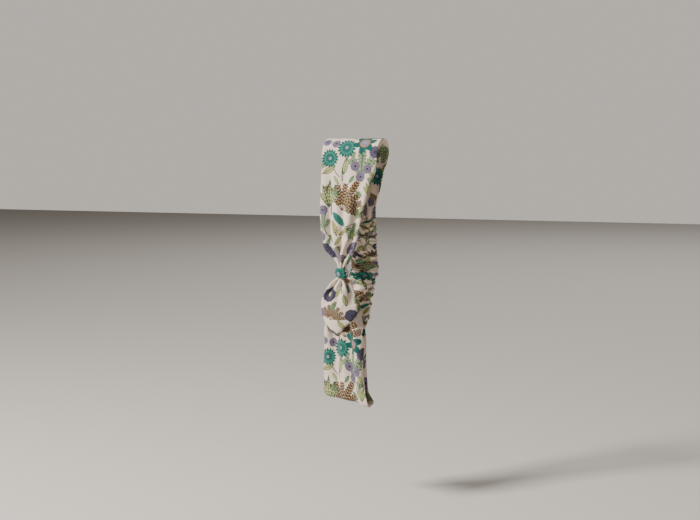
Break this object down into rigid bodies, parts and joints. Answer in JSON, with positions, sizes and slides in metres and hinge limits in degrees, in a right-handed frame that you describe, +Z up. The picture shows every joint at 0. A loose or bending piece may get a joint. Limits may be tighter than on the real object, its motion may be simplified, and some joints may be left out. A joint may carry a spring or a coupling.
{
  "type": "knotted headband",
  "caption": "Printed cotton headband with a wrapped knot in front and a gathered elastic back, hanging over a rail.",
  "frame": {"origin": "on the axis of the rail that the headband hangs over, at the middle of the band's width", "axes": "+X along the rail, -Y towards the knotted front, +Z up"},
  "size_m": [0.053, 0.0409, 0.2234],
  "materials": {
    "printed_cotton": "matte",
    "elastic": "matte",
    "thread": "matte"
  },
  "bodies": {
    "rail_span": {"band_top_outer": "printed_cotton", "band_top_lining": "printed_cotton"},
    "front_upper": {"band_front_outer": "printed_cotton", "band_front_lining": "printed_cotton"},
    "knot": {"knot_wrap": "printed_cotton", "band_centre_gathers": "printed_cotton", "knot_tack_stitches": "thread"},
    "lobe": {"band_lobe_outer": "printed_cotton", "band_lobe_lining": "printed_cotton"},
    "back_upper": {"back_flap_upper_outer": "printed_cotton", "back_flap_upper_lining": "printed_cotton", "upper_join_stitches": "thread", "casing_upper": "printed_cotton", "elastic_upper": "elastic"},
    "back_middle": {"casing_middle": "printed_cotton", "elastic_middle": "elastic"},
    "back_lower": {"casing_lower": "printed_cotton", "elastic_lower": "elastic", "lower_join_stitches": "thread", "back_flap_lower_outer": "printed_cotton", "back_flap_lower_lining": "printed_cotton"},
    "fold": {"band_fold_outer": "printed_cotton", "band_fold_lining": "printed_cotton"},
    "front_lower": {"band_lower_outer": "printed_cotton", "band_lower_lining": "printed_cotton"}
  },
  "joints": [
    {"name": "loop_open", "type": "hinge", "parent": "rail_span", "child": "front_upper", "pos_m": [0, 0, 0], "axis": [-1, 0, 0], "range_deg": [0, 36]},
    {"name": "knot_top_bend", "type": "hinge", "parent": "front_upper", "child": "knot", "pos_m": [0, -0.017, -0.099], "axis": [1, 0, 0], "range_deg": [0, 36]},
    {"name": "knot_bottom_bend", "type": "hinge", "parent": "knot", "child": "lobe", "pos_m": [0, -0.017, -0.099], "axis": [1, 0, 0], "range_deg": [0, 36]},
    {"name": "back_swing", "type": "hinge", "parent": "rail_span", "child": "back_upper", "pos_m": [0, 0, 0], "axis": [1, 0, 0], "range_deg": [0, 36]},
    {"name": "elastic_stretch", "type": "slide", "parent": "back_upper", "child": "back_middle", "axis": [0, 0.1328, -0.9911], "range_m": [0, 0.025], "stiffness_N_per_m": 40, "springref_m": -0.006, "deforming": ["elastic_upper"]},
    {"name": "elastic_bend", "type": "hinge", "parent": "back_middle", "child": "back_lower", "pos_m": [0, 0.014, -0.1045], "axis": [-1, 0, 0], "range_deg": [0, 72]},
    {"name": "fold_back_bend", "type": "hinge", "parent": "back_lower", "child": "fold", "pos_m": [0, -0.003, -0.2035], "axis": [1, 0, 0], "range_deg": [0, 36]},
    {"name": "fold_front_bend", "type": "hinge", "parent": "fold", "child": "front_lower", "pos_m": [0, -0.003, -0.2035], "axis": [1, 0, 0], "range_deg": [0, 36]}
  ],
  "couplings": [
    {"joint": "knot_top_bend", "follows": "loop_open", "ratio": 1},
    {"joint": "knot_bottom_bend", "follows": "loop_open", "ratio": 1},
    {"joint": "back_swing", "follows": "loop_open", "ratio": 1},
    {"joint": "elastic_bend", "follows": "loop_open", "ratio": 2},
    {"joint": "fold_back_bend", "follows": "loop_open", "ratio": 1},
    {"joint": "fold_front_bend", "follows": "loop_open", "ratio": 1}
  ]
}
